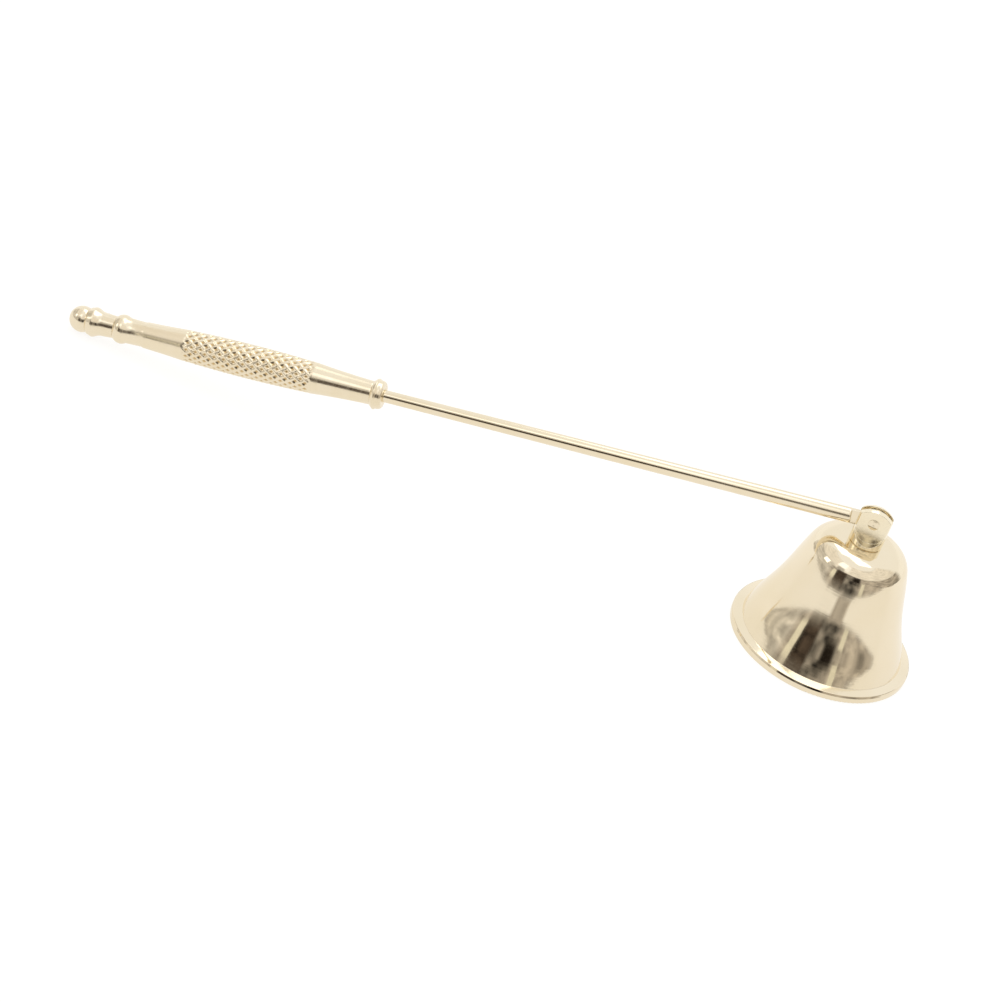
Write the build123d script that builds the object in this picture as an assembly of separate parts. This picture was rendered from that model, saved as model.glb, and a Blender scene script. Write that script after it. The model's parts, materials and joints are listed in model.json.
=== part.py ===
from build123d import *
import os
from math import asin, cos, sin, sqrt

# Candle snuffer, resting on a table on its bell's rim and on its tail ball
# All lengths are in millimetres, +Z is up and the handle runs towards -X

# Clearances and the cutters' overrun, shared by several pieces
SHAFT_FIT = 0.02          # radial room of a fixed shaft in its hole
PIVOT_FIT = 0.06          # radial room of the rod's eye on the pin
OVERRUN = 1.0             # how far a cutter runs past what it cuts

# Bell: rim with a sloping ledge, skirt, flare, waist and rounded shoulder
MOUTH_RADIUS = 20.0
BELL_HEIGHT = 27.2
BELL_WALL = 1.1
RIM_EDGE_HEIGHT = 1.6      # where the ledge would meet the rim's upright edge
LEDGE_HEIGHT = 2.05        # where the ledge meets the skirt
RIM_TOP_ROUND = 0.4
RIM_BOTTOM_ROUND = 0.25
SKIRT_RADIUS = 17.95
BROW_RADIUS = 16.72
BROW_HEIGHT = 5.5
FLARE_RADIUS = 15.05
FLARE_HEIGHT = 9.6
WAIST_RADIUS = 13.15
WAIST_HEIGHT = 15.3
SHOULDER_ROUND = 5.33
PAD_RADIUS = 5.75
SKIRT_LEAN_SHARE = 0.35    # how far the body leans inwards where it leaves the ledge
BODY_LEAN_SHARE = 0.36    # how far it leans where its shoulder starts
INNER_SHARES = [0.0, 0.1, 0.2, 0.3, 0.42, 0.56, 0.7, 0.85, 1.0]

# Yoke: a stud, and a domed post with two flats and a slot milled into it
STUD_RADIUS = 1.5
STUD_PROUD = 0.5
STUD_CHAMFER = 0.3
POST_RADIUS = 3.6
POST_HEIGHT = 8.4
POST_FOOT_ROUND = 0.25
POST_FOOT_LENGTH = 0.7     # height of the round foot below the flats
POST_EDGE_ROUND = 0.2
DOME_RADIUS = 5.0
FLAT_END_SPARE = 0.12      # how much wider a flat's round end is than the flat
EAR_THICKNESS = 1.0
SLOT_WIDTH = 1.2
SLOT_FLOOR_DROP = 3.65     # floor of the slot below the pivot
PIVOT_RISE = 5.303         # pivot above the crown

# Washer and nut inside the crown
WASHER_RADIUS = 3.5
WASHER_THICKNESS = 0.6
NUT_ACROSS_FLATS = 5.5
NUT_THICKNESS = 2.4
NUT_CHAMFER = 0.25

# Pivot pin
PIN_RADIUS = 0.8
PIN_HEAD_LIP = 0.4
PIN_HEAD_EDGE = 0.08
PIN_HEAD_DOME = 0.17

# Rod, measured along its axis from the pivot
EYE_RADIUS = 2.7
EYE_SIDE_GAP = 0.1
TONGUE_WIDTH = 3.1
ROD_HEAD_GAP = 1.35       # room between the rod's shoulder and the post
ROD_START_RADIUS = 1.65
ROD_START_ROUND = 0.4
ROD_END_RADIUS = 1.34
ROD_REACH = 106.85        # from the pivot to the front of the collar
ROD_INSERT = 14.0         # length of the rod inside the collar and the grip
ROD_TIP_CHAMFER = 0.3

# Front collar
COLLAR_LENGTH = 2.55
COLLAR_FACE_RADIUS = 2.35
COLLAR_CREST_RADIUS = 3.18
COLLAR_BACK_RADIUS = 2.75
COLLAR_SINK_RADIUS = 1.75
COLLAR_SINK_DEPTH = 0.3
COLLAR_SHARES = [(0.62, 0.09), (0.86, 0.25), (1.0, 0.52)]
SLEEVE_WALL = 0.64
SLEEVE_LENGTH = 6.0

# Grip: front taper, barrel, tail taper, neck and bead
GRIP_FRONT_WALL = 0.54
FRONT_TAPER_LENGTH = 13.2
FRONT_TAPER_SHARE = (0.38, 0.5)
KNURL_EDGE_RADIUS = 3.4
KNURL_CREST_RADIUS = 3.74
KNURL_LENGTH = 29.3
TAIL_TAPER_LENGTH = 9.2
TAIL_TAPER_RADIUS = 2.86
TAIL_TAPER_SHARE = (0.57, 0.5)
GRIP_NECK_RADIUS = 2.7
GRIP_NECK_ROUND = 0.5
GRIP_NECK_LENGTH = 3.7
BEAD_FOOT_RADIUS = 2.8
BEAD_RADIUS = 3.2
BEAD_LENGTH = 2.9
GRIP_END_RADIUS = 2.42
BORE_SPARE = 0.3          # how much deeper a blind bore is than what it holds

# Tail finial: neck, stepped bead, groove and ball
STEP_NECK_RADIUS = 2.58
STEP_NECK_LENGTH = 2.5
STEP_CREST_RADIUS = 3.26
STEP_RISE_LENGTH = 2.45
STEP_RISE_SHARES = [(0.22, 0.4), (0.78, 0.76)]
STEP_FALL_RADIUS = 2.98
STEP_FALL_LENGTH = 0.95
BALL_GROOVE_RADIUS = 2.6
BALL_GROOVE_RUN = 0.515
TAIL_BALL_RADIUS = 2.9
TAIL_STUD_RADIUS = 1.2
TAIL_STUD_LENGTH = 8.0
TAIL_STUD_CHAMFER = 0.25

# Sizes of the joint that follow from those above
HEAD_THICKNESS = SLOT_WIDTH + 2 * EAR_THICKNESS
EYE_THICKNESS = SLOT_WIDTH - 2 * EYE_SIDE_GAP
PIN_HEAD_RADIUS = PIN_RADIUS + PIN_HEAD_LIP
STUD_LENGTH = BELL_WALL + WASHER_THICKNESS + NUT_THICKNESS + STUD_PROUD
POST_TOP = BELL_HEIGHT + POST_HEIGHT
DOME_HEIGHT = POST_TOP - DOME_RADIUS
PIVOT_HEIGHT = BELL_HEIGHT + PIVOT_RISE
FLAT_END_RADIUS = sqrt(POST_RADIUS**2 - (HEAD_THICKNESS / 2) ** 2) + FLAT_END_SPARE

# Places along the handle, from the pivot
ROD_START = POST_RADIUS + ROD_HEAD_GAP
ROD_END = ROD_REACH + ROD_INSERT
SLEEVE_RADIUS = ROD_END_RADIUS + SHAFT_FIT + SLEEVE_WALL
GRIP_START = ROD_REACH + COLLAR_LENGTH
GRIP_FRONT_RADIUS = SLEEVE_RADIUS + SHAFT_FIT + GRIP_FRONT_WALL
KNURL_START = GRIP_START + FRONT_TAPER_LENGTH
KNURL_END = KNURL_START + KNURL_LENGTH
TAPER_END = KNURL_END + TAIL_TAPER_LENGTH
BEAD_START = TAPER_END + GRIP_NECK_ROUND + GRIP_NECK_LENGTH
GRIP_END = BEAD_START + BEAD_LENGTH
STEP_NECK_END = GRIP_END + STEP_NECK_LENGTH
STEP_CREST = STEP_NECK_END + STEP_RISE_LENGTH
STEP_FALL = STEP_CREST + STEP_FALL_LENGTH
BALL_GROOVE = STEP_FALL + BALL_GROOVE_RUN
TAIL_BALL = BALL_GROOVE + sqrt(TAIL_BALL_RADIUS**2 - BALL_GROOVE_RADIUS**2)

# The handle leans until its ball rests on the table, and the origin is under the middle
TILT = asin((PIVOT_HEIGHT - TAIL_BALL_RADIUS) / TAIL_BALL)
REACH = TAIL_BALL * cos(TILT) + TAIL_BALL_RADIUS
BELL_X = (REACH - MOUTH_RADIUS) / 2
HANDLE_AXIS = (-cos(TILT), 0, -sin(TILT))
HANDLE_PLANE = Plane(origin=(BELL_X, 0, PIVOT_HEIGHT), x_dir=(0, 1, 0), z_dir=HANDLE_AXIS)
BELL_PLANE = Plane(origin=(BELL_X, 0, 0), x_dir=(1, 0, 0), z_dir=(0, 0, 1))
PIVOT_PLANE = Plane(origin=(BELL_X, 0, PIVOT_HEIGHT), x_dir=(1, 0, 0), z_dir=(0, 1, 0))


def turned(edges):
    """Turn a closed outline, drawn as radius and height, about the Z axis."""
    return revolve(Plane.XZ * make_face(edges), Axis.Z)


def between(start, end, shares):
    """Points at the given shares of the way between two points of an outline."""
    return [
        (start[0] + (end[0] - start[0]) * across, start[1] + (end[1] - start[1]) * along)
        for across, along in shares
    ]


def shoulder_start(inset):
    """Where the shoulder's round starts, on the surface that lies inset below the outside."""
    slant = sqrt(1 + BODY_LEAN_SHARE**2)
    bend = SHOULDER_ROUND - inset
    centre_height = BELL_HEIGHT - SHOULDER_ROUND
    return (PAD_RADIUS + bend / slant, centre_height + bend * BODY_LEAN_SHARE / slant)


def shoulder(inset):
    """The shoulder's round, from the body to the flat pad on the crown."""
    start = shoulder_start(inset)
    end = (PAD_RADIUS, BELL_HEIGHT - inset)
    return TangentArc(start, end, tangent=(-BODY_LEAN_SHARE, 1))


def bell_body():
    """The bell's outer curve, from the ledge up to its shoulder."""
    foot = (SKIRT_RADIUS, LEDGE_HEIGHT)
    brow = (BROW_RADIUS, BROW_HEIGHT)
    flare = (FLARE_RADIUS, FLARE_HEIGHT)
    waist = (WAIST_RADIUS, WAIST_HEIGHT)
    top = shoulder_start(0)
    leans = [(-SKIRT_LEAN_SHARE, 1), (-BODY_LEAN_SHARE, 1)]
    return Spline(foot, brow, flare, waist, top, tangents=leans)


def bell_lining(body):
    """The inner curve, one wall thickness inside the outer one."""
    points = []
    for share in INNER_SHARES:
        place = body @ share
        run = body % share
        points.append((place.X - BELL_WALL * run.Y, place.Y + BELL_WALL * run.X))
    return Spline(*points, tangents=[(-SKIRT_LEAN_SHARE, 1), (-BODY_LEAN_SHARE, 1)])


def rim_top():
    """Both ends of the round between the rim's upright edge and the sloping ledge."""
    slope = (LEDGE_HEIGHT - RIM_EDGE_HEIGHT) / (MOUTH_RADIUS - SKIRT_RADIUS)
    slant = sqrt(1 + slope**2)
    bend = RIM_TOP_ROUND
    height = RIM_EDGE_HEIGHT + bend * (slope - slant)
    inner = (MOUTH_RADIUS - bend + bend * slope / slant, height + bend / slant)
    return (MOUTH_RADIUS, height), inner


def make_bell():
    body = bell_body()
    lining = bell_lining(body)
    inner_shoulder = TangentArc(
        lining @ 1, (PAD_RADIUS, BELL_HEIGHT - BELL_WALL), tangent=(-BODY_LEAN_SHARE, 1)
    )
    hole = STUD_RADIUS + SHAFT_FIT
    mouth = (lining @ 0).X
    low = RIM_BOTTOM_ROUND
    low_start = (MOUTH_RADIUS - low, 0)
    low_end = (MOUTH_RADIUS, low)
    top_start, top_end = rim_top()
    crown = BELL_HEIGHT - BELL_WALL
    edges = [
        Line((mouth, 0), low_start),
        RadiusArc(low_start, low_end, -low),
        Line(low_end, top_start),
        RadiusArc(top_start, top_end, -RIM_TOP_ROUND),
        Line(top_end, (SKIRT_RADIUS, LEDGE_HEIGHT)),
        body,
        shoulder(0),
        Line((PAD_RADIUS, BELL_HEIGHT), (hole, BELL_HEIGHT)),
        Line((hole, BELL_HEIGHT), (hole, crown)),
        Line((hole, crown), (PAD_RADIUS, crown)),
        inner_shoulder,
        lining,
        Line(lining @ 0, (mouth, 0)),
    ]
    return BELL_PLANE * turned(edges)


def yoke_blank():
    """The yoke before milling: stud and domed post in one turned piece."""
    stud_low = BELL_HEIGHT - STUD_LENGTH
    foot_low = (POST_RADIUS - POST_FOOT_ROUND, BELL_HEIGHT)
    foot_edge = (POST_RADIUS, BELL_HEIGHT + POST_FOOT_ROUND)
    bend = POST_EDGE_ROUND
    inset = DOME_RADIUS - bend
    rise = sqrt(inset**2 - (POST_RADIUS - bend) ** 2)
    side_end = (POST_RADIUS, DOME_HEIGHT + rise)
    spread = DOME_RADIUS / inset
    dome_start = ((POST_RADIUS - bend) * spread, DOME_HEIGHT + rise * spread)
    crest = (0, POST_TOP)
    edges = [
        Line((0, stud_low), (STUD_RADIUS - STUD_CHAMFER, stud_low)),
        Line((STUD_RADIUS - STUD_CHAMFER, stud_low), (STUD_RADIUS, stud_low + STUD_CHAMFER)),
        Line((STUD_RADIUS, stud_low + STUD_CHAMFER), (STUD_RADIUS, BELL_HEIGHT)),
        Line((STUD_RADIUS, BELL_HEIGHT), foot_low),
        RadiusArc(foot_low, foot_edge, -POST_FOOT_ROUND),
        Line(foot_edge, side_end),
        RadiusArc(side_end, dome_start, -bend),
        RadiusArc(dome_start, crest, -DOME_RADIUS),
        Line(crest, (0, stud_low)),
    ]
    return BELL_PLANE * turned(edges)


def flat_cutter(middle, depth):
    """What is milled off one side of the post: a flat with a round lower end."""
    centre = BELL_HEIGHT + POST_FOOT_LENGTH + FLAT_END_RADIUS
    rise = POST_TOP + OVERRUN - centre
    span = 2 * (POST_RADIUS + OVERRUN)
    across = Rot(90, 0, 0)
    face = Pos(BELL_X, middle, centre + rise / 2) * Box(span, depth, rise)
    return face + Pos(BELL_X, middle, centre) * across * Cylinder(FLAT_END_RADIUS, depth)


def make_yoke():
    depth = POST_RADIUS + OVERRUN - HEAD_THICKNESS / 2
    middle = (HEAD_THICKNESS + depth) / 2
    slot_low = PIVOT_HEIGHT - SLOT_FLOOR_DROP
    slot_rise = POST_TOP + OVERRUN - slot_low
    slot = Box(2 * (POST_RADIUS + OVERRUN), SLOT_WIDTH, slot_rise)
    pin_hole = PIVOT_PLANE * Cylinder(PIN_RADIUS + SHAFT_FIT, HEAD_THICKNESS + 2 * OVERRUN)
    yoke = yoke_blank()
    yoke -= flat_cutter(middle, depth)
    yoke -= flat_cutter(-middle, depth)
    yoke -= Pos(BELL_X, 0, slot_low + slot_rise / 2) * slot
    return yoke - pin_hole


def make_crown_washer():
    top = BELL_HEIGHT - BELL_WALL
    ring = Cylinder(WASHER_RADIUS, WASHER_THICKNESS)
    ring -= Cylinder(STUD_RADIUS + SHAFT_FIT, WASHER_THICKNESS + 2 * OVERRUN)
    return Pos(BELL_X, 0, top - WASHER_THICKNESS / 2) * ring


def make_crown_nut():
    top = BELL_HEIGHT - BELL_WALL - WASHER_THICKNESS
    hexagon = RegularPolygon(NUT_ACROSS_FLATS / 2, 6, major_radius=False)
    blank = extrude(hexagon, NUT_THICKNESS)
    corner = NUT_ACROSS_FLATS / sqrt(3)
    dome = turned([
        Line((0, 0), (corner - NUT_CHAMFER, 0)),
        Line((corner - NUT_CHAMFER, 0), (corner, NUT_CHAMFER)),
        Line((corner, NUT_CHAMFER), (corner, NUT_THICKNESS)),
        Line((corner, NUT_THICKNESS), (0, NUT_THICKNESS)),
        Line((0, NUT_THICKNESS), (0, 0)),
    ])
    nut = blank & dome
    nut -= Cylinder(STUD_RADIUS + SHAFT_FIT, 2 * (NUT_THICKNESS + OVERRUN))
    return Pos(BELL_X, 0, top - NUT_THICKNESS) * nut


def make_pivot_pin():
    face = HEAD_THICKNESS / 2
    rim = face + PIN_HEAD_EDGE
    crest = rim + PIN_HEAD_DOME
    dome_radius = (PIN_HEAD_RADIUS**2 + PIN_HEAD_DOME**2) / (2 * PIN_HEAD_DOME)
    half_way = crest - dome_radius + sqrt(dome_radius**2 - (PIN_HEAD_RADIUS / 2) ** 2)
    over = (PIN_HEAD_RADIUS / 2, half_way)
    under = (PIN_HEAD_RADIUS / 2, -half_way)
    edges = [
        ThreePointArc((0, crest), over, (PIN_HEAD_RADIUS, rim)),
        Line((PIN_HEAD_RADIUS, rim), (PIN_HEAD_RADIUS, face)),
        Line((PIN_HEAD_RADIUS, face), (PIN_RADIUS, face)),
        Line((PIN_RADIUS, face), (PIN_RADIUS, -face)),
        Line((PIN_RADIUS, -face), (PIN_HEAD_RADIUS, -face)),
        Line((PIN_HEAD_RADIUS, -face), (PIN_HEAD_RADIUS, -rim)),
        ThreePointArc((PIN_HEAD_RADIUS, -rim), under, (0, -crest)),
        Line((0, -crest), (0, crest)),
    ]
    return PIVOT_PLANE * turned(edges)


def make_rod():
    bend = ROD_START_ROUND
    face_edge = (ROD_START_RADIUS - bend, ROD_START)
    side_start = (ROD_START_RADIUS, ROD_START + bend)
    side_end = (ROD_END_RADIUS, ROD_REACH)
    tip_start = (ROD_END_RADIUS, ROD_END - ROD_TIP_CHAMFER)
    tip_end = (ROD_END_RADIUS - ROD_TIP_CHAMFER, ROD_END)
    edges = [
        Line((0, ROD_START), face_edge),
        RadiusArc(face_edge, side_start, -bend),
        Line(side_start, side_end),
        Line(side_end, tip_start),
        Line(tip_start, tip_end),
        Line(tip_end, (0, ROD_END)),
        Line((0, ROD_END), (0, ROD_START)),
    ]
    shaft = turned(edges)
    across = Rot(0, 90, 0)
    eye = across * Cylinder(EYE_RADIUS, EYE_THICKNESS)
    reach = ROD_START + OVERRUN
    tongue = Pos(0, 0, reach / 2) * Box(EYE_THICKNESS, TONGUE_WIDTH, reach)
    bore = across * Cylinder(PIN_RADIUS + PIVOT_FIT, EYE_THICKNESS + 2 * OVERRUN)
    return HANDLE_PLANE * (shaft + tongue + eye - bore)


def make_front_collar():
    bore = ROD_END_RADIUS + SHAFT_FIT
    end = GRIP_START + SLEEVE_LENGTH
    sink = (bore, ROD_REACH + COLLAR_SINK_DEPTH)
    lip = (COLLAR_SINK_RADIUS, ROD_REACH)
    face = (COLLAR_FACE_RADIUS, ROD_REACH)
    back = (COLLAR_BACK_RADIUS, GRIP_START)
    rise = COLLAR_CREST_RADIUS - COLLAR_FACE_RADIUS
    brow = [
        (COLLAR_FACE_RADIUS + rise * out, ROD_REACH + COLLAR_LENGTH * along)
        for out, along in COLLAR_SHARES
    ]
    edges = [
        Line(sink, lip),
        Line(lip, face),
        Spline(face, *brow, back, tangents=[(1, 0), (-1, 1)]),
        Line(back, (SLEEVE_RADIUS, GRIP_START)),
        Line((SLEEVE_RADIUS, GRIP_START), (SLEEVE_RADIUS, end)),
        Line((SLEEVE_RADIUS, end), (bore, end)),
        Line((bore, end), sink),
    ]
    return HANDLE_PLANE * turned(edges)


def grip_outside():
    """The grip's outline from its front edge to the end of its bead."""
    front = (GRIP_FRONT_RADIUS, GRIP_START)
    knurl_start = (KNURL_EDGE_RADIUS, KNURL_START)
    knurl_crest = (KNURL_CREST_RADIUS, KNURL_START + KNURL_LENGTH / 2)
    knurl_end = (KNURL_EDGE_RADIUS, KNURL_END)
    taper_end = (TAIL_TAPER_RADIUS, TAPER_END)
    neck_start = (GRIP_NECK_RADIUS, TAPER_END + GRIP_NECK_ROUND)
    bead_start = (BEAD_FOOT_RADIUS, BEAD_START)
    bead_crest = (BEAD_RADIUS, BEAD_START + BEAD_LENGTH / 2)
    front_middle = between(front, knurl_start, [FRONT_TAPER_SHARE])[0]
    tail_middle = between(knurl_end, taper_end, [TAIL_TAPER_SHARE])[0]
    return [
        ThreePointArc(front, front_middle, knurl_start),
        ThreePointArc(knurl_start, knurl_crest, knurl_end),
        ThreePointArc(knurl_end, tail_middle, taper_end),
        Line(taper_end, neck_start),
        Line(neck_start, bead_start),
        ThreePointArc(bead_start, bead_crest, (GRIP_END_RADIUS, GRIP_END)),
    ]


def make_grip():
    rod_bore = ROD_END_RADIUS + SHAFT_FIT
    rod_bore_end = ROD_END + BORE_SPARE
    sleeve_bore = SLEEVE_RADIUS + SHAFT_FIT
    sleeve_bore_end = GRIP_START + SLEEVE_LENGTH + BORE_SPARE
    stud_bore = TAIL_STUD_RADIUS + SHAFT_FIT
    stud_bore_start = GRIP_END - TAIL_STUD_LENGTH - BORE_SPARE
    edges = grip_outside() + [
        Line((GRIP_END_RADIUS, GRIP_END), (stud_bore, GRIP_END)),
        Line((stud_bore, GRIP_END), (stud_bore, stud_bore_start)),
        Line((stud_bore, stud_bore_start), (0, stud_bore_start)),
        Line((0, stud_bore_start), (0, rod_bore_end)),
        Line((0, rod_bore_end), (rod_bore, rod_bore_end)),
        Line((rod_bore, rod_bore_end), (rod_bore, sleeve_bore_end)),
        Line((rod_bore, sleeve_bore_end), (sleeve_bore, sleeve_bore_end)),
        Line((sleeve_bore, sleeve_bore_end), (sleeve_bore, GRIP_START)),
        Line((sleeve_bore, GRIP_START), (GRIP_FRONT_RADIUS, GRIP_START)),
    ]
    return HANDLE_PLANE * turned(edges)


def make_tail_finial():
    start = (GRIP_END_RADIUS, GRIP_END)
    neck = (STEP_NECK_RADIUS, STEP_NECK_END)
    crest = (STEP_CREST_RADIUS, STEP_CREST)
    fall = (STEP_FALL_RADIUS, STEP_FALL)
    groove = (BALL_GROOVE_RADIUS, BALL_GROOVE)
    side = (TAIL_BALL_RADIUS, TAIL_BALL)
    pole = (0, TAIL_BALL + TAIL_BALL_RADIUS)
    stud_end = GRIP_END - TAIL_STUD_LENGTH
    chamfer_start = (TAIL_STUD_RADIUS, stud_end + TAIL_STUD_CHAMFER)
    chamfer_end = (TAIL_STUD_RADIUS - TAIL_STUD_CHAMFER, stud_end)
    edges = [
        Line((TAIL_STUD_RADIUS, GRIP_END), start),
        Line(start, neck),
        Spline(neck, *between(neck, crest, STEP_RISE_SHARES), crest, tangents=[(0, 1), (0, 1)]),
        Line(crest, fall),
        Line(fall, groove),
        ThreePointArc(groove, side, pole),
        Line(pole, (0, stud_end)),
        Line((0, stud_end), chamfer_end),
        Line(chamfer_end, chamfer_start),
        Line(chamfer_start, (TAIL_STUD_RADIUS, GRIP_END)),
    ]
    return HANDLE_PLANE * turned(edges)


def make_parts():
    return {
        "bell": make_bell(),
        "yoke": make_yoke(),
        "crown_washer": make_crown_washer(),
        "crown_nut": make_crown_nut(),
        "pivot_pin": make_pivot_pin(),
        "rod": make_rod(),
        "front_collar": make_front_collar(),
        "grip": make_grip(),
        "tail_finial": make_tail_finial(),
    }


os.makedirs("parts", exist_ok=True)
for node, shape in make_parts().items():
    export_step(shape, "parts/" + node + ".step")
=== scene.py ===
import json
import math

import bmesh
import bpy
from mathutils import Matrix, Vector


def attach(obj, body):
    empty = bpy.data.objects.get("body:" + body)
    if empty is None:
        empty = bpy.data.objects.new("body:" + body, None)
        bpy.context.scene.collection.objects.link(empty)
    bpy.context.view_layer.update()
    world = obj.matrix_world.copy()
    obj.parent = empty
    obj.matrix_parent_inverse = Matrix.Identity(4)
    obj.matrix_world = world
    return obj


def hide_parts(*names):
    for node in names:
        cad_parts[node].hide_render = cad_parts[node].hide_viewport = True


# Candle snuffer in polished pale brass, lying on its bell's rim and its tail ball
# The scene is in metres, the handle's own sizes are in millimetres from the joint's pivot,
# +Z is up and the handle runs towards -X

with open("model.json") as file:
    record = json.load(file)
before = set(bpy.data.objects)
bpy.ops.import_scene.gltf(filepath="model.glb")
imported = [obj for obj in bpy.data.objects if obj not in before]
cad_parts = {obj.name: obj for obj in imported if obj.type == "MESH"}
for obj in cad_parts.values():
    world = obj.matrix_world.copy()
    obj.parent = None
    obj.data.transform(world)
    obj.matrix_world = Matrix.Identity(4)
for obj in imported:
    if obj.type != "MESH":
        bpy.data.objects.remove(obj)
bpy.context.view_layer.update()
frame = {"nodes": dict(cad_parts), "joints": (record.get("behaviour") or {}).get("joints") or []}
nodes = frame["nodes"]

MM = 0.001

# Camera: its place, how far it looks to the right of +Y and down, and its roll to the left
CAMERA_PLACE = (0.0443, -0.46996, 0.30062)
CAMERA_HEADING = math.radians(-4.896)
CAMERA_DIP = math.radians(32.376)
CAMERA_ROLL = math.radians(20.248)
LENS_MM = 93.413
SENSOR_MM = 36.0
CLIP_NEAR = 0.01
CLIP_FAR = 50.0

# Handle: its pivot, and the lean at which its tail ball lies on the table
PIVOT = tuple(frame["joints"][0]["pos_m"])
TAIL_BALL_RADIUS = 2.9
TAIL_BALL_REACH = 175.8995
HANDLE_TILT = math.asin((PIVOT[2] / MM - TAIL_BALL_RADIUS) / TAIL_BALL_REACH)
HANDLE_AXIS = (-math.cos(HANDLE_TILT), 0.0, -math.sin(HANDLE_TILT))
HANDLE_ACROSS = (0.0, 1.0, 0.0)

# Grip: places along the handle, and radii
GRIP_START = 109.4
KNURL_START = 122.6
KNURL_END = 151.9
TAPER_END = 161.1
NECK_START = 161.6
BEAD_START = 165.3
GRIP_END = 168.2
GRIP_FRONT_RADIUS = 2.56
FRONT_TAPER_SHARE = (0.38, 0.5)
KNURL_EDGE_RADIUS = 3.4
KNURL_CREST_RADIUS = 3.74
TAIL_TAPER_RADIUS = 2.86
TAIL_TAPER_SHARE = (0.57, 0.5)
GRIP_NECK_RADIUS = 2.7
BEAD_FOOT_RADIUS = 2.8
BEAD_RADIUS = 3.2
GRIP_END_RADIUS = 2.42
SLEEVE_BORE_RADIUS = 2.02
SLEEVE_BORE_END = 115.7
ROD_BORE_RADIUS = 1.36
ROD_BORE_END = 121.15
STUD_BORE_RADIUS = 1.22
STUD_BORE_START = 159.9
EDGE_ROUND = 0.12

# Knurl: two crossing families of ridges, with shares of a pitch or of the depth
KNURL_STARTS = 13
KNURL_ROWS = 13.5
KNURL_PITCH = (KNURL_END - KNURL_START) / KNURL_ROWS
KNURL_DEPTH = 0.3
KNURL_WEAVE_SHARE = 0.3
KNURL_RIDGE_SHARE = 0.38
KNURL_RIDGE_CURVE = 1.4
KNURL_PHASE = 0.5
KNURL_FADE = 0.6
# Share of the knurl's depth below which its grooves get painted shade
KNURL_SHADE_START_SHARE = 0.45
KNURL_STEPS = 18
GRIP_SEGMENTS = KNURL_STARTS * KNURL_STEPS
ARC_STEP = 0.35
SHARP_ANGLE = math.radians(50)


# Shapes

def add_object(name, data):
    """A new object in the scene."""
    made = bpy.data.objects.new(name, data)
    bpy.context.scene.collection.objects.link(made)
    return made


def arc_points(start, middle, end, step):
    """Points of the arc through three points, without its first one."""
    ax, ay = start
    bx, by = middle
    cx, cy = end
    turn = 2 * (ax * (by - cy) + bx * (cy - ay) + cx * (ay - by))
    a, b, c = ax * ax + ay * ay, bx * bx + by * by, cx * cx + cy * cy
    x = (a * (by - cy) + b * (cy - ay) + c * (ay - by)) / turn
    y = (a * (cx - bx) + b * (ax - cx) + c * (bx - ax)) / turn
    radius = math.hypot(ax - x, ay - y)
    first = math.atan2(ay - y, ax - x)
    sweep = math.atan2(cy - y, cx - x) - first
    if turn > 0:
        sweep %= 2 * math.pi
    else:
        sweep = -((-sweep) % (2 * math.pi))
    count = max(2, math.ceil(abs(sweep) * radius / step))
    turns = [first + sweep * i / count for i in range(1, count + 1)]
    return [(x + radius * math.cos(angle), y + radius * math.sin(angle)) for angle in turns]


def part_way(start, end, share):
    """A point at its own share of the way across and along."""
    return (start[0] + (end[0] - start[0]) * share[0], start[1] + (end[1] - start[1]) * share[1])


def eased(corner_before, corner, corner_after, size, count=3):
    """A small round in place of a sharp corner of an outline."""
    out = []
    before = Vector(corner_before) - Vector(corner)
    after = Vector(corner_after) - Vector(corner)
    a = Vector(corner) + before.normalized() * min(size, before.length / 2)
    b = Vector(corner) + after.normalized() * min(size, after.length / 2)
    for i in range(count + 1):
        t = i / count
        point = a * (1 - t) ** 2 + Vector(corner) * 2 * t * (1 - t) + b * t ** 2
        out.append((point.x, point.y))
    return out


def barrel_points(start, crest, end):
    """Points of the barrel's arc at even lengths, so that the ridges run through them."""
    half = (end[1] - start[1]) / 2
    rise = crest[0] - start[0]
    radius = (half * half + rise * rise) / (2 * rise)
    count = round(KNURL_ROWS * KNURL_STEPS)
    points = []
    for i in range(1, count + 1):
        off = half * (2 * i / count - 1)
        points.append((crest[0] - radius + math.sqrt(radius * radius - off * off), crest[1] + off))
    return points


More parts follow.
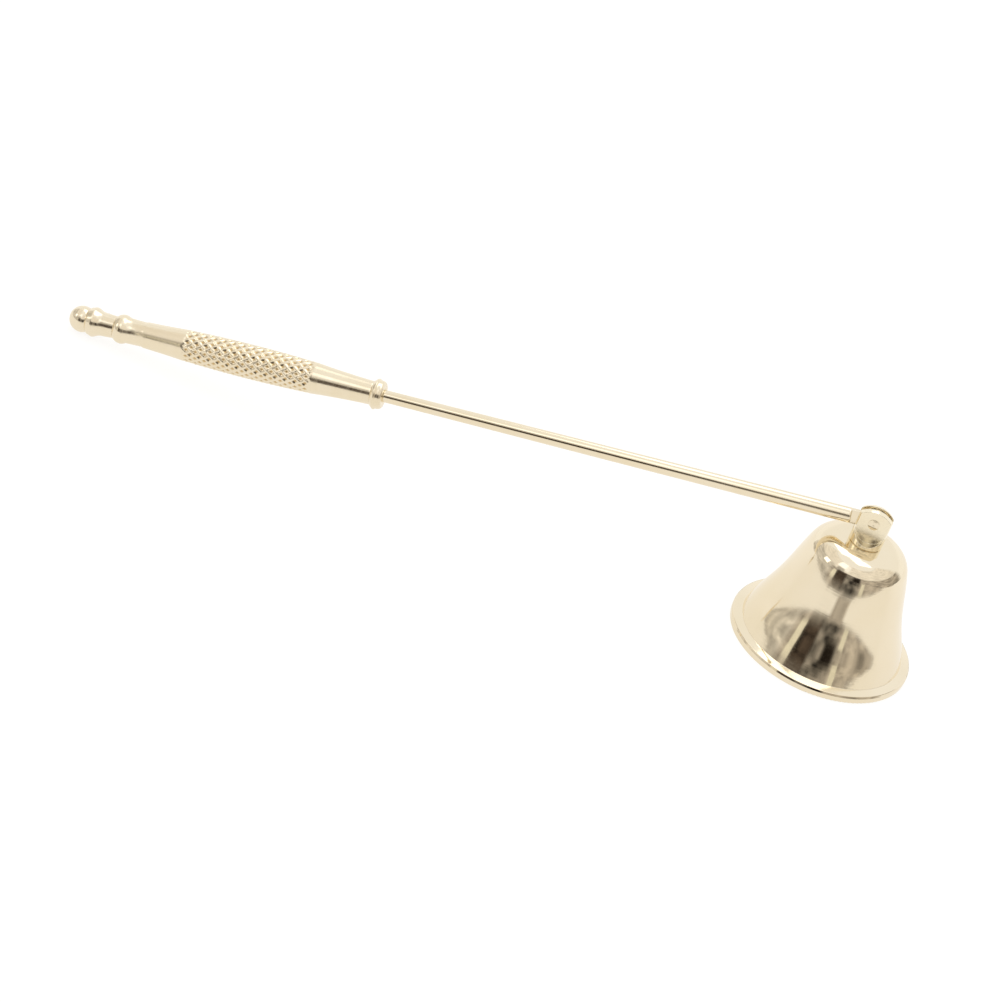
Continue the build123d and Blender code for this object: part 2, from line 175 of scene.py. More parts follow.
def grip_outline():
    """The grip's closed outline as radius and length, from one blind bore round to the other."""
    front = (GRIP_FRONT_RADIUS, GRIP_START)
    knurl_start = (KNURL_EDGE_RADIUS, KNURL_START)
    knurl_end = (KNURL_EDGE_RADIUS, KNURL_END)
    knurl_crest = (KNURL_CREST_RADIUS, (KNURL_START + KNURL_END) / 2)
    taper_end = (TAIL_TAPER_RADIUS, TAPER_END)
    neck_start = (GRIP_NECK_RADIUS, NECK_START)
    bead_start = (BEAD_FOOT_RADIUS, BEAD_START)
    bead_crest = (BEAD_RADIUS, (BEAD_START + GRIP_END) / 2)
    grip_end = (GRIP_END_RADIUS, GRIP_END)
    stud_mouth = (STUD_BORE_RADIUS, GRIP_END)
    points = [(0.0, ROD_BORE_END), (ROD_BORE_RADIUS, ROD_BORE_END)]
    points += [(ROD_BORE_RADIUS, SLEEVE_BORE_END), (SLEEVE_BORE_RADIUS, SLEEVE_BORE_END)]
    points += [(SLEEVE_BORE_RADIUS, GRIP_START)]
    rise = arc_points(front, part_way(front, knurl_start, FRONT_TAPER_SHARE), knurl_start, ARC_STEP)
    points += eased(points[-1], front, rise[0], EDGE_ROUND)
    points += rise
    points += barrel_points(knurl_start, knurl_crest, knurl_end)
    points += arc_points(knurl_end, part_way(knurl_end, taper_end, TAIL_TAPER_SHARE), taper_end, ARC_STEP)
    points += [neck_start, part_way(neck_start, bead_start, (0.5, 0.5))]
    bead = arc_points(bead_start, bead_crest, grip_end, ARC_STEP)
    points += [bead_start] + bead[:-1]
    points += eased(bead[-2], grip_end, stud_mouth, EDGE_ROUND)
    points += [stud_mouth, (STUD_BORE_RADIUS, STUD_BORE_START), (0.0, STUD_BORE_START)]
    return points


def ridge(turns):
    """Height of a narrow ridge, 1 on its line and 0 on the floor beside it."""
    off = abs(turns - round(turns)) / KNURL_RIDGE_SHARE
    return max(0.0, 1 - off ** KNURL_RIDGE_CURVE)


def knurl_turns(along, angle):
    """How many ridges of each family lie before a place on the barrel."""
    turn = KNURL_STARTS * angle / (2 * math.pi) + KNURL_PHASE
    run = (along - KNURL_START) / KNURL_PITCH
    return turn + run, turn - run


def knurl_relief(along, angle):
    """How deep a place on the barrel lies below the ridges, as a share of the full depth."""
    right, left = knurl_turns(along, angle)
    over = 0.5 + 0.5 * math.cos(math.pi * (left + round(right)))
    under = 0.5 - 0.5 * math.cos(math.pi * (right + round(left)))
    rise_right = ridge(right) * (1 - KNURL_WEAVE_SHARE * (1 - over))
    rise_left = ridge(left) * (1 - KNURL_WEAVE_SHARE * (1 - under))
    edge = min(along - KNURL_START, KNURL_END - along) / KNURL_FADE
    fade = min(1.0, max(0.0, edge))
    return (1 - max(rise_right, rise_left)) * fade * fade * (3 - 2 * fade)


def handle_point(radius, along, angle):
    """A point of the handle in the part's frame, from its place in millimetres."""
    axis, across = Vector(HANDLE_AXIS), Vector(HANDLE_ACROSS)
    third = axis.cross(across)
    side = across * math.cos(angle) + third * math.sin(angle)
    return Vector(PIVOT) + axis * (along * MM) + side * (radius * MM)


def quad_faces(first, second, i, j, along, middle):
    """The two triangles between two rings, split along the nearer ridge."""
    right, left = knurl_turns(along, middle)
    if abs(right - round(right)) < abs(left - round(left)):
        return (first[i], second[i], first[j]), (first[j], second[i], second[j])
    return (first[i], second[i], second[j]), (first[i], second[j], first[j])


def make_grip():
    """The grip as a turned mesh whose barrel carries the crossing ridges."""
    mesh = bmesh.new()
    # Each point keeps its share of the knurl's depth, which the painted shade in the grooves reads
    layer = mesh.verts.layers.float.new("knurl_floor")
    rings, places = [], []
    for radius, along in grip_outline():
        knurled = KNURL_START < along < KNURL_END and radius > SLEEVE_BORE_RADIUS
        places.append((along, knurled))
        if radius == 0:
            rings.append([mesh.verts.new(handle_point(0, along, 0))])
            continue
        ring = []
        for i in range(GRIP_SEGMENTS):
            angle = 2 * math.pi * i / GRIP_SEGMENTS
            share = knurl_relief(along, angle) if knurled else 0.0
            ring.append(mesh.verts.new(handle_point(radius - KNURL_DEPTH * share, along, angle)))
            ring[-1][layer] = share
        rings.append(ring)
    for k in range(len(rings) - 1):
        first, second = rings[k], rings[k + 1]
        along = (places[k][0] + places[k + 1][0]) / 2
        for i in range(GRIP_SEGMENTS):
            j = (i + 1) % GRIP_SEGMENTS
            if len(first) == 1:
                mesh.faces.new((first[0], second[i], second[j]))
            elif len(second) == 1:
                mesh.faces.new((first[i], second[0], first[j]))
            elif places[k][1] or places[k + 1][1]:
                middle = 2 * math.pi * (i + 0.5) / GRIP_SEGMENTS
                for corners in quad_faces(first, second, i, j, along, middle):
                    mesh.faces.new(corners)
            else:
                mesh.faces.new((first[i], second[i], second[j], first[j]))
    bmesh.ops.recalc_face_normals(mesh, faces=mesh.faces)
    data = bpy.data.meshes.new("knurled_grip")
    mesh.to_mesh(data)
    mesh.free()
    data.polygons.foreach_set("use_smooth", [True] * len(data.polygons))
    data.set_sharp_from_angle(angle=SHARP_ANGLE)
    return add_object("knurled_grip", data)


# Shader building

def add_node(tree, kind, settings=None, inputs=None):
    """A shader node with its settings, and its sockets set or linked."""
    made = tree.nodes.new(kind)
    for name, value in (settings or {}).items():
        setattr(made, name, value)
    for name, value in (inputs or {}).items():
        socket = made.inputs[name]
        if isinstance(value, bpy.types.NodeSocket):
            tree.links.new(value, socket)
        else:
            socket.default_value = value
    return made


def math_node(tree, operation, *values, clamp=False):
    """The result of a Math node on numbers or sockets."""
    settings = {"operation": operation, "use_clamp": clamp}
    return add_node(tree, "ShaderNodeMath", settings, dict(enumerate(values))).outputs[0]


def vector_node(tree, operation, output, *values):
    """A result of a Vector Math node."""
    settings = {"operation": operation}
    return add_node(tree, "ShaderNodeVectorMath", settings, dict(enumerate(values))).outputs[output]


def remap(tree, value, low, high, to_low, to_high):
    """A value moved from one range to another, kept inside it."""
    inputs = {"Value": value, "From Min": low, "From Max": high, "To Min": to_low, "To Max": to_high}
    return add_node(tree, "ShaderNodeMapRange", {"clamp": True}, inputs).outputs["Result"]


# Socket numbers of the Mix node, which has a set for each kind of value
COLOR_A, COLOR_B, COLOR_RESULT = 6, 7, 2
VECTOR_A, VECTOR_B, VECTOR_RESULT = 4, 5, 1


def mix_colors(tree, share, first, second):
    """The first color at share 0 and the second at share 1."""
    inputs = {"Factor": share, COLOR_A: first, COLOR_B: second}
    return add_node(tree, "ShaderNodeMix", {"data_type": "RGBA"}, inputs).outputs[COLOR_RESULT]


def mix_vectors(tree, share, first, second):
    """The first vector at share 0 and the second at share 1."""
    inputs = {"Factor": share, VECTOR_A: first, VECTOR_B: second}
    return add_node(tree, "ShaderNodeMix", {"data_type": "VECTOR"}, inputs).outputs[VECTOR_RESULT]


def noise(tree, place, scale, detail, roughness=0.5):
    """Soft random patches, from 0 to 1."""
    inputs = {"Vector": place, "Scale": scale, "Detail": detail, "Roughness": roughness}
    return add_node(tree, "ShaderNodeTexNoise", None, inputs).outputs["Fac"]


def new_material(name):
    """A material and its node tree."""
    material = bpy.data.materials.new(name)
    material.use_nodes = True
    return material, material.node_tree


def new_group(name, inputs, outputs):
    """An empty shader group with named sockets."""
    group = bpy.data.node_groups.new(name, "ShaderNodeTree")
    for label, kind, value in inputs:
        socket = group.interface.new_socket(name=label, in_out="INPUT", socket_type=kind)
        socket.default_value = value
    for label, kind in outputs:
        group.interface.new_socket(name=label, in_out="OUTPUT", socket_type=kind)
    return group, group.nodes.new("NodeGroupInput").outputs, group.nodes.new("NodeGroupOutput").inputs


FLOAT, VECTOR, COLOR = "NodeSocketFloat", "NodeSocketVector", "NodeSocketColor"

# Effects: scales are per metre, and a spread is the part of a pattern that is stretched from 0 to 1
DRIFT_SCALE = 120.0
SMEAR_SCALE = 420.0
PIT_SCALE = 1600.0
PIT_REACH = 0.16
PATCH_SPREAD = (0.35, 0.7)
SMEAR_SPREAD = (0.3, 0.75)
RING_SPREAD = (0.3, 0.7)
BEVEL_SAMPLES = 6

# How alike two directions are, as a cosine, where a mask starts and where it is full
EDGE_TURN = (0.995, 0.85)
FACE_TURN = (0.995, 0.9995)


def turned_marks_group():
    """Fine rings that a lathe tool leaves round an axis."""
    inputs = [
        ("Origin", VECTOR, (0, 0, 0)),
        ("Axis", VECTOR, (0, 0, 1)),
        ("Spacing", FLOAT, 0.0003),
        ("Drift", FLOAT, 0.5),
    ]
    group, put, out = new_group("Turned marks", inputs, [("Rings", FLOAT)])
    place = add_node(group, "ShaderNodeTexCoord").outputs["Object"]
    offset = vector_node(group, "SUBTRACT", "Vector", place, put["Origin"])
    along = vector_node(group, "DOT_PRODUCT", "Value", offset, put["Axis"])
    reach = {0: put["Axis"], "Scale": along}
    on_axis = add_node(group, "ShaderNodeVectorMath", {"operation": "SCALE"}, reach).outputs[0]
    radius = vector_node(group, "DISTANCE", "Value", offset, on_axis)
    steps_along = math_node(group, "DIVIDE", along, put["Spacing"])
    steps_out = math_node(group, "DIVIDE", radius, put["Spacing"])
    wander = math_node(group, "MULTIPLY", noise(group, place, DRIFT_SCALE, detail=1.0), put["Drift"])
    steps = {"X": steps_along, "Y": steps_out, "Z": wander}
    where = add_node(group, "ShaderNodeCombineXYZ", None, steps).outputs[0]
    group.links.new(noise(group, where, scale=1.0, detail=2.0), out["Rings"])
    return group


def plated_tone_group():
    """Small differences of tone and sheen in a thin bright plating."""
    inputs = [
        ("Plate", COLOR, (0.8, 0.7, 0.5, 1)),
        ("Deeper", COLOR, (0.7, 0.55, 0.35, 1)),
        ("Patch size", FLOAT, 0.01),
        ("Low roughness", FLOAT, 0.05),
        ("High roughness", FLOAT, 0.12),
    ]
    outputs = [("Color", COLOR), ("Roughness", FLOAT), ("Pits", FLOAT)]
    group, put, out = new_group("Plated tone", inputs, outputs)
    place = add_node(group, "ShaderNodeTexCoord").outputs["Object"]
    scale = math_node(group, "DIVIDE", 1.0, put["Patch size"])
    patches = noise(group, place, scale, detail=4.0, roughness=0.6)
    share = remap(group, patches, *PATCH_SPREAD, 0.0, 1.0)
    tone = mix_colors(group, share, put["Plate"], put["Deeper"])
    smear = noise(group, place, SMEAR_SCALE, detail=3.0)
    sheen = remap(group, smear, *SMEAR_SPREAD, put["Low roughness"], put["High roughness"])
    cells = add_node(group, "ShaderNodeTexVoronoi", None, {"Vector": place, "Scale": PIT_SCALE})
    pits = remap(group, cells.outputs["Distance"], 0.0, PIT_REACH, 0.0, 1.0)
    group.links.new(tone, out["Color"])
    group.links.new(sheen, out["Roughness"])
    group.links.new(pits, out["Pits"])
    return group


def edge_wear_group():
    """1 on the sharp edges of a piece and 0 on its faces, and the normal of its eased edges."""
    outputs = [("Mask", FLOAT), ("Normal", VECTOR)]
    group, put, out = new_group("Edge wear", [("Width", FLOAT, 0.0002)], outputs)
    settings = {"samples": BEVEL_SAMPLES}
    soft = add_node(group, "ShaderNodeBevel", settings, {"Radius": put["Width"]}).outputs[0]
    true = add_node(group, "ShaderNodeNewGeometry").outputs["Normal"]
    alike = vector_node(group, "DOT_PRODUCT", "Value", soft, true)
    group.links.new(remap(group, alike, *EDGE_TURN, 0.0, 1.0), out["Mask"])
    group.links.new(soft, out["Normal"])
    return group


def milled_face_group():
    """1 on the flat faces that look along one way, and 0 on turned surfaces."""
    group, put, out = new_group("Milled face", [("Direction", VECTOR, (0, 1, 0))], [("Mask", FLOAT)])
    normal = add_node(group, "ShaderNodeTexCoord").outputs["Normal"]
    along = vector_node(group, "DOT_PRODUCT", "Value", normal, put["Direction"])
    alike = math_node(group, "ABSOLUTE", along)
    group.links.new(remap(group, alike, *FACE_TURN, 0.0, 1.0), out["Mask"])
    return group


def rim_bevel_group():
    """The normal of a narrow bevel round the rim, between its ledge and its upright edge."""
    inputs = [
        ("Normal", VECTOR, (0, 0, 1)),
        ("Origin", VECTOR, (0, 0, 0)),
        ("Middle height", FLOAT, 0.00144),
        ("Half width", FLOAT, 0.00017),
        ("Softness", FLOAT, 0.00008),
        ("Inner radius", FLOAT, 0.0196),
        ("Rise", FLOAT, 0.47),
    ]
    group, put, out = new_group("Rim bevel", inputs, [("Normal", VECTOR)])
    place = add_node(group, "ShaderNodeTexCoord").outputs["Object"]
    offset = vector_node(group, "SUBTRACT", "Vector", place, put["Origin"])
    height = add_node(group, "ShaderNodeSeparateXYZ", None, {0: offset}).outputs["Z"]
    outward = vector_node(group, "MULTIPLY", "Vector", offset, (1, 1, 0))
    radius = vector_node(group, "LENGTH", "Value", outward)
    off = math_node(group, "ABSOLUTE", math_node(group, "SUBTRACT", height, put["Middle height"]))
    past_band = math_node(group, "SUBTRACT", off, put["Half width"])
    past_inner = math_node(group, "SUBTRACT", radius, put["Inner radius"])
    fading = math_node(group, "DIVIDE", past_band, put["Softness"])
    in_band = math_node(group, "SUBTRACT", 1.0, fading, clamp=True)
    outside = math_node(group, "DIVIDE", past_inner, put["Softness"], clamp=True)
    mask = math_node(group, "MULTIPLY", in_band, outside)
    side = vector_node(group, "NORMALIZE", "Vector", outward)
    up = add_node(group, "ShaderNodeCombineXYZ", None, {"Z": put["Rise"]}).outputs[0]
    turn = {"vector_type": "NORMAL", "convert_from": "OBJECT", "convert_to": "WORLD"}
    leaning = {0: vector_node(group, "ADD", "Vector", side, up)}
    lean = add_node(group, "ShaderNodeVectorTransform", turn, leaning).outputs[0]
    mixed = mix_vectors(group, mask, put["Normal"], vector_node(group, "NORMALIZE", "Vector", lean))
    group.links.new(vector_node(group, "NORMALIZE", "Vector", mixed), out["Normal"])
    return group


TURNED_MARKS = turned_marks_group()
PLATED_TONE = plated_tone_group()
EDGE_WEAR = edge_wear_group()
MILLED_FACE = milled_face_group()
RIM_BEVEL = rim_bevel_group()


def place_group(tree, group, inputs):
    """A shared effect in a material, with the material's own values."""
    return add_node(tree, "ShaderNodeGroup", {"node_tree": group}, inputs).outputs


def turned_metal(name, look):
    """A polished metal with turning marks, from a table of its values."""
    material, tree = new_material(name)
    shader = tree.nodes["Principled BSDF"]
    shader.inputs["Metallic"].default_value = 1.0
    shader.inputs["IOR"].default_value = 1.5
    tone = place_group(tree, PLATED_TONE, {
        "Plate": look["plate"],
        "Deeper": look["deeper"],
        "Patch size": look["patch"],
        "Low roughness": look["roughness"][0],
        "High roughness": look["roughness"][1],
    })
    marks = place_group(tree, TURNED_MARKS, {
        "Origin": look["origin"],
        "Axis": look["axis"],
        "Spacing": look["spacing"],
        "Drift": look["drift"],
    })
    edge = place_group(tree, EDGE_WEAR, {"Width": look["edge"]})
    worn = math_node(tree, "MULTIPLY", edge["Mask"], look["edge_share"])
    color = mix_colors(tree, worn, tone["Color"], look["bright"])
    # Painted shade: past the given share of its depth, the knurl's floor is mixed towards a darker brown
    if look["painted_knurl_shade"]:
        depth = add_node(tree, "ShaderNodeAttribute", {"attribute_name": "knurl_floor"}).outputs["Fac"]
        share = remap(tree, depth, KNURL_SHADE_START_SHARE, 1.0, 0.0, 1.0)
        color = mix_colors(tree, share, color, look["painted_knurl_shade"])
    ring_rough = remap(tree, marks["Rings"], *RING_SPREAD, 0.0, look["ring_roughness"])
    rough = math_node(tree, "ADD", tone["Roughness"], ring_rough)
    if look["milled_roughness"]:
        milled = place_group(tree, MILLED_FACE, {"Direction": HANDLE_ACROSS})["Mask"]
        extra = math_node(tree, "MULTIPLY", milled, look["milled_roughness"])
        rough = math_node(tree, "ADD", rough, extra)
    tree.links.new(color, shader.inputs["Base Color"])
    tree.links.new(rough, shader.inputs["Roughness"])
    pits = math_node(tree, "MULTIPLY", tone["Pits"], look["pit_share"])
    height = math_node(tree, "ADD", marks["Rings"], pits)
    normal = edge["Normal"]
    if look["rim_bevel"]:
        normal = place_group(tree, RIM_BEVEL, {"Normal": normal, "Origin": look["origin"]})["Normal"]
    bump = add_node(tree, "ShaderNodeBump", None, {
        "Strength": look["bump"],
        "Distance": look["bump_height"],
        "Height": height,
        "Normal": normal,
    })
    tree.links.new(bump.outputs[0], shader.inputs["Normal"])
    return material


# Finishes: sizes in metres, roughness as a range, shares from 0 to 1
PALE_GOLD = (0.875, 0.79, 0.63, 1)
WARM_GOLD = (0.85, 0.755, 0.57, 1)
BRIGHT_EDGE = (0.93, 0.87, 0.75, 1)
# A darker brown painted as shade in the knurl's grooves
KNURL_PAINTED_SHADE_BROWN = (0.6, 0.43, 0.21, 1)
# The yoke's two tones are paler copies of the brass: painted light for the brighter light its flat faces
# mirror
YOKE_PAINTED_LIGHT_GOLD = (0.93, 0.86, 0.69, 1)
YOKE_PAINTED_LIGHT_DEEPER = (0.91, 0.82, 0.63, 1)
STEEL = (0.62, 0.61, 0.58, 1)
STEEL_DEEPER = (0.5, 0.49, 0.47, 1)
STEEL_EDGE = (0.75, 0.74, 0.72, 1)
BELL_CENTRE = (PIVOT[0], 0.0, 0.0)
UP = (0.0, 0.0, 1.0)

BELL_LOOK = {
    "plate": PALE_GOLD,
    "deeper": WARM_GOLD,
    "bright": BRIGHT_EDGE,
    "painted_knurl_shade": None,
    "patch": 0.02,
    "roughness": (0.045, 0.085),
    "ring_roughness": 0.03,
    "milled_roughness": 0.0,
    "origin": BELL_CENTRE,
    "axis": UP,
    "spacing": 0.00028,
    "drift": 1.2,
    "edge": 0.00015,
    "edge_share": 0.6,
    "rim_bevel": True,
    "pit_share": 0.0,
    "bump": 0.3,
    "bump_height": 0.000006,
}
ROD_LOOK = dict(
    BELL_LOOK, origin=PIVOT, axis=HANDLE_AXIS, patch=0.006, roughness=(0.06, 0.11), spacing=0.0005,
    rim_bevel=False,
)
FITTING_LOOK = dict(ROD_LOOK, roughness=(0.1, 0.2), ring_roughness=0.06, spacing=0.00022, bump=0.4)
# The grip's knurl carries painted shade in its grooves
GRIP_LOOK = dict(
    ROD_LOOK, roughness=(0.11, 0.2), ring_roughness=0.09, spacing=0.00026, pit_share=1.0, bump=0.8,
    bump_height=0.00001, painted_knurl_shade=KNURL_PAINTED_SHADE_BROWN,
)
STEEL_LOOK = dict(
    FITTING_LOOK, plate=STEEL, deeper=STEEL_DEEPER, bright=STEEL_EDGE, origin=BELL_CENTRE, axis=UP,
)
# Paler brass on the yoke, painted light standing in for what its flat faces mirror
YOKE_LOOK = dict(
    FITTING_LOOK, plate=YOKE_PAINTED_LIGHT_GOLD, deeper=YOKE_PAINTED_LIGHT_DEEPER, origin=BELL_CENTRE, axis=UP,
    milled_roughness=0.1, roughness=(0.08, 0.13), bump=0.2,
)
PIN_LOOK = dict(FITTING_LOOK, axis=HANDLE_ACROSS, roughness=(0.08, 0.13), bump=0.2)

MATERIALS = {
    "bell_brass": turned_metal("polished_bell_brass", BELL_LOOK),
    "rod_brass": turned_metal("drawn_rod_brass", ROD_LOOK),
    "fitting_brass": turned_metal("turned_fitting_brass", FITTING_LOOK),
    "yoke_brass": turned_metal("milled_yoke_brass_painted_light", YOKE_LOOK),
    "pin_brass": turned_metal("riveted_pin_brass", PIN_LOOK),
    "grip_brass": turned_metal("satin_grip_brass_painted_shade", GRIP_LOOK),
    "fixing_steel": turned_metal("plain_fixing_steel", STEEL_LOOK),
}
NODE_SLOTS = {
    "bell": "bell_brass",
    "rod": "rod_brass",
    "yoke": "yoke_brass",
    "pivot_pin": "pin_brass",
    "front_collar": "fitting_brass",
    "tail_finial": "fitting_brass",
    "crown_washer": "fixing_steel",
    "crown_nut": "fixing_steel",
    "grip": "grip_brass",
}


def dress_node(name):
    """Give a CAD node its material in its object's own slot."""
    for socket in nodes[name].material_slots:
        socket.link = "OBJECT"
        socket.material = MATERIALS[NODE_SLOTS[name]]


for name in NODE_SLOTS:
    dress_node(name)

grip = make_grip()
grip.data.materials.append(MATERIALS["grip_brass"])
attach(grip, "handle")
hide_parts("grip")


# Studio: floor, world, screens and lamps

PURE_WHITE = (1, 1, 1, 1)
SHEET_BEIGE = (1.0, 0.985, 0.955, 1)

# Floor: its paint, what mirrors show of it in front and behind, and how much it glows
FLOOR_HALF_SIDE = 4.0
FLOOR_DROP = 0.00002
FLOOR_PAINT = (0.9, 0.89, 0.87, 1)
FLOOR_ROUGHNESS = 0.9
FLOOR_SHINE = 0.1
FLOOR_BEIGE = (0.97, 0.93, 0.86, 1)
FLOOR_WHITE = (1.04, 1.01, 0.97, 1)
FLOOR_FADE = (-0.01, 0.05)
FLOOR_GLOW = 1.12
FLOOR_SEEN_SHARE = 0.72
FLOOR_MIRRORED_SHARE = 0.95


def shown_plain(tree, lit):
    """Mix a lit shader with plain light: white for the camera, beige to white in mirrors."""
    rays = add_node(tree, "ShaderNodeLightPath").outputs
    mirrored = math_node(tree, "MAXIMUM", rays["Is Glossy Ray"], rays["Is Transmission Ray"])
    place = add_node(tree, "ShaderNodeTexCoord").outputs["Object"]
    away = add_node(tree, "ShaderNodeSeparateXYZ", None, {0: place}).outputs["Y"]
    paper = mix_colors(tree, remap(tree, away, *FLOOR_FADE, 0.0, 1.0), FLOOR_BEIGE, FLOOR_WHITE)
    color = mix_colors(tree, mirrored, PURE_WHITE, paper)
    strength = remap(tree, mirrored, 0.0, 1.0, FLOOR_GLOW, 1.0)
    plain = add_node(tree, "ShaderNodeEmission", None, {"Color": color, "Strength": strength}).outputs[0]
    seen_share = math_node(tree, "MULTIPLY", rays["Is Camera Ray"], FLOOR_SEEN_SHARE)
    mirrored_share = math_node(tree, "MULTIPLY", mirrored, FLOOR_MIRRORED_SHARE)
    share = math_node(tree, "MAXIMUM", seen_share, mirrored_share)
    return add_node(tree, "ShaderNodeMixShader", None, {0: share, 1: lit, 2: plain}).outputs[0]


def make_floor():
    """A wide pale floor under the snuffer."""
    mesh = bmesh.new()
    bmesh.ops.create_grid(mesh, x_segments=2, y_segments=2, size=FLOOR_HALF_SIDE)
    data = bpy.data.meshes.new("studio_floor")
    mesh.to_mesh(data)
    mesh.free()
    floor = add_object("studio_floor", data)
    floor.location.z = -FLOOR_DROP
    material, tree = new_material("floor_paper")
    shader = tree.nodes["Principled BSDF"]
    shader.inputs["Base Color"].default_value = FLOOR_PAINT
    shader.inputs["Roughness"].default_value = FLOOR_ROUGHNESS
    shader.inputs["Specular IOR Level"].default_value = FLOOR_SHINE
    surface = tree.nodes["Material Output"].inputs["Surface"]
    tree.links.new(shown_plain(tree, shader.outputs[0]), surface)
    data.materials.append(material)


def make_world():
    """Soft light from all round: a beige sheet in mirrors, plain white for the camera."""
    world = bpy.data.worlds.new("studio_tent")
    bpy.context.scene.world = world
    world.use_nodes = True
    tree = world.node_tree
    background = tree.nodes["Background"]
    seen = add_node(tree, "ShaderNodeLightPath").outputs["Is Camera Ray"]
    tree.links.new(mix_colors(tree, seen, SHEET_BEIGE, PURE_WHITE), background.inputs["Color"])
    background.inputs["Strength"].default_value = 1.0


# Places round the bell are measured from here, and the lamps point at the target
STUDIO_CENTRE = (PIVOT[0], 0.0, 0.015)
LAMP_TARGET = (0.0, 0.0, 0.01)

# Screens: cells of the mesh each way, size of the paint's patches in degrees, and their contrast
SCREEN_CELLS = 16
PATCH_ACROSS = 15.0
PATCH_UP = 2.6
PAINT_SPREAD = (0.32, 0.68)


def spot_round(azimuth, elevation, distance):
    """A place round the bell: azimuth 0 is towards the camera, 90 to its right."""
    a, e = math.radians(azimuth), math.radians(elevation)
    towards = Vector((math.sin(a) * math.cos(e), -math.cos(a) * math.cos(e), math.sin(e)))
    return Vector(STUDIO_CENTRE) + towards * distance


def screen_mesh(name, azimuths, elevations, distance):
    """A curved sheet round the bell, with its place across and up as UV."""
    mesh = bmesh.new()
    uv = mesh.loops.layers.uv.new("across_and_up")
    corners = {}
    for i in range(SCREEN_CELLS + 1):
        for j in range(SCREEN_CELLS + 1):
            azimuth = azimuths[0] + (azimuths[1] - azimuths[0]) * i / SCREEN_CELLS
            elevation = elevations[0] + (elevations[1] - elevations[0]) * j / SCREEN_CELLS
            corners[i, j] = mesh.verts.new(spot_round(azimuth, elevation, distance))
    for i in range(SCREEN_CELLS):
        for j in range(SCREEN_CELLS):
            ring = [(i, j), (i + 1, j), (i + 1, j + 1), (i, j + 1)]
            face = mesh.faces.new([corners[c] for c in ring])
            for loop, c in zip(face.loops, ring):
                loop[uv].uv = (c[0] / SCREEN_CELLS, c[1] / SCREEN_CELLS)
    data = bpy.data.meshes.new(name)
    mesh.to_mesh(data)
    mesh.free()
    return data


def screen_cover(tree, place, degrees, border):
    """How much a screen hides along one of its two ways: 1 inside, fading to 0 over its border."""
    off = math_node(tree, "ABSOLUTE", math_node(tree, "SUBTRACT", place, 0.5))
    return remap(tree, off, 0.5 - border / degrees, 0.5, 1.0, 0.0)


def screen_paint(name, look):
    """A glowing paint with uneven patches, clear at the screen's borders."""
    material, tree = new_material(name + "_paint")
    tree.nodes.remove(tree.nodes["Principled BSDF"])
    across = look["azimuths"][1] - look["azimuths"][0]
    up = look["elevations"][1] - look["elevations"][0]
    place = add_node(tree, "ShaderNodeUVMap", {"uv_map": "across_and_up"}).outputs[0]
    parts = add_node(tree, "ShaderNodeSeparateXYZ", None, {0: place}).outputs
    side_cover = screen_cover(tree, parts["X"], across, look["side_border"])
    end_cover = screen_cover(tree, parts["Y"], up, look["end_border"])
    cover = math_node(tree, "MULTIPLY", side_cover, end_cover)
    spread = add_node(tree, "ShaderNodeCombineXYZ", None, {
        "X": math_node(tree, "MULTIPLY", parts["X"], across / PATCH_ACROSS),
        "Y": math_node(tree, "MULTIPLY", parts["Y"], up / PATCH_UP),
        "Z": look["azimuths"][0] / PATCH_ACROSS,
    }).outputs[0]
    darkest = look["level"] * (1 - look["uneven"])
    brightest = look["level"] * (1 + look["uneven"])
    patches = noise(tree, spread, scale=1.0, detail=3.0, roughness=0.6)
    strength = remap(tree, patches, *PAINT_SPREAD, darkest, brightest)
    light = {"Color": look["color"], "Strength": strength}
    glow = add_node(tree, "ShaderNodeEmission", None, light).outputs[0]
    clear = add_node(tree, "ShaderNodeBsdfTransparent").outputs[0]
    mixed = add_node(tree, "ShaderNodeMixShader", None, {0: cover, 1: clear, 2: glow}).outputs[0]
    tree.links.new(mixed, tree.nodes["Material Output"].inputs["Surface"])
    return material


def make_screen(name, look):
    """A curved studio screen with soft borders that only metal shows."""
    data = screen_mesh(name, look["azimuths"], look["elevations"], look["distance"])
    data.materials.append(screen_paint(name, look))
    screen = add_object(name, data)
    screen.visible_camera = False
    screen.visible_diffuse = False
    screen.visible_shadow = False


def make_lamp(name, azimuth, elevation, distance, side, power):
    """A soft square lamp aimed at the middle of the snuffer."""
    data = bpy.data.lights.new(name, "AREA")
    data.shape = "SQUARE"
    data.size = side
    data.energy = power
    data.color = LAMP_WHITE
    lamp = add_object(name, data)
    lamp.location = spot_round(azimuth, elevation, distance)
    lamp.rotation_mode = "QUATERNION"
    lamp.rotation_quaternion = (Vector(LAMP_TARGET) - lamp.location).to_track_quat("-Z", "Y")


def screen_values(azimuths, elevations, distance, color, level, side_border, end_border, uneven):
    """The values of one screen: degrees round the bell, metres from it, and its light."""
    return {
        "azimuths": azimuths,
        "elevations": elevations,
        "distance": distance,
        "color": color,
        "level": level,
        "side_border": side_border,
        "end_border": end_border,
        "uneven": uneven,
    }


GREY_TAN = (1.0, 0.94, 0.85, 1)
ROOM_TAN = (1.0, 0.9, 0.78, 1)
BROWN = (1.0, 0.73, 0.55, 1)
PALE_YELLOW = (1.0, 0.95, 0.78, 1)
WHITE = (1.0, 0.985, 0.96, 1)
LAMP_WHITE = (1, 0.98, 0.95)

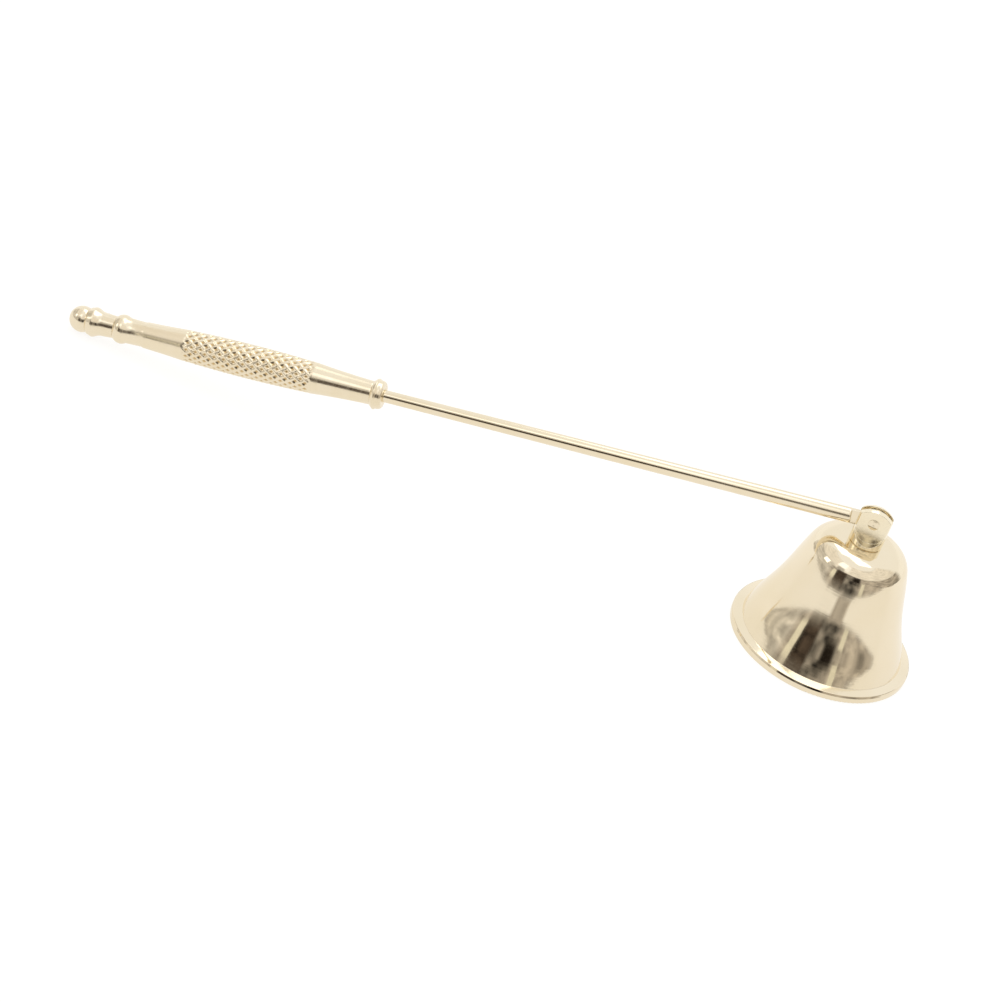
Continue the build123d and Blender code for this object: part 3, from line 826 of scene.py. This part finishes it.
SCREENS = {
    "back_screen": screen_values((95, 265), (-3, 26), 1.8, WHITE, 1.06, 12, 8, 0.0),
    "upper_screen": screen_values((-124, 124), (25, 66), 1.7, GREY_TAN, 0.9, 10, 5, 0.2),
    "room_screen": screen_values((-124, 124), (-2, 29), 1.6, ROOM_TAN, 0.45, 10, 3, 0.6),
    "left_screen": screen_values((-124, -44), (-2, 36), 1.5, GREY_TAN, 0.66, 8, 4, 0.5),
    "rod_light": screen_values((-44, -4), (31, 64), 1.5, WHITE, 1.1, 8, 5, 0.1),
    "middle_screen": screen_values((-37, 26), (-2, 29), 1.4, ROOM_TAN, 0.2, 6, 4, 1.0),
    "dark_flag": screen_values((4, 25), (5, 27), 1.3, BROWN, 0.015, 5, 4, 0.5),
    "handle_light": screen_values((-46, -18), (38, 66), 1.35, WHITE, 1.45, 4, 6, 0.0),
    "handle_shade": screen_values((-40, -18), (18, 44), 1.32, GREY_TAN, 0.5, 4, 8, 0.3),
    "rod_flag": screen_values((-33, -8), (0, 29), 1.3, BROWN, 0.06, 4, 6, 1.0),
    "tall_strip": screen_values((-42, -32), (3, 19), 1.2, PALE_YELLOW, 0.85, 1, 1, 0.1),
    "short_strip": screen_values((26, 34), (0, 9), 1.2, PALE_YELLOW, 0.8, 1, 1, 0.1),
    "low_strip": screen_values((-8, 20), (-4, 1), 0.2, ROOM_TAN, 0.55, 5, 1, 0.3),
}

# Lamps: azimuth and elevation in degrees, distance and side in metres, and power in watts
LAMPS = {
    "top_softbox": (-162, 64, 1.2, 0.5, 0.9),
    "right_softbox": (142, 80, 1.2, 0.4, 0.55),
    "left_softbox": (-67, 24, 1.2, 0.3, 0.36),
}

make_floor()
make_world()
for name, look in SCREENS.items():
    make_screen(name, look)
for name, values in LAMPS.items():
    make_lamp(name, *values)


def make_camera():
    """The camera at the photograph's viewing angle."""
    data = bpy.data.cameras.new("photo_camera")
    data.sensor_width = SENSOR_MM
    data.lens = LENS_MM
    data.clip_start = CLIP_NEAR
    data.clip_end = CLIP_FAR
    camera = add_object("photo_camera", data)
    heading = Matrix.Rotation(-CAMERA_HEADING, 4, "Z")
    tilt = Matrix.Rotation(math.pi / 2 - CAMERA_DIP, 4, "X")
    roll = Matrix.Rotation(CAMERA_ROLL, 4, "Z")
    camera.matrix_world = Matrix.Translation(CAMERA_PLACE) @ heading @ tilt @ roll
    bpy.context.scene.camera = camera


make_camera()
bpy.context.scene.view_settings.view_transform = "Standard"
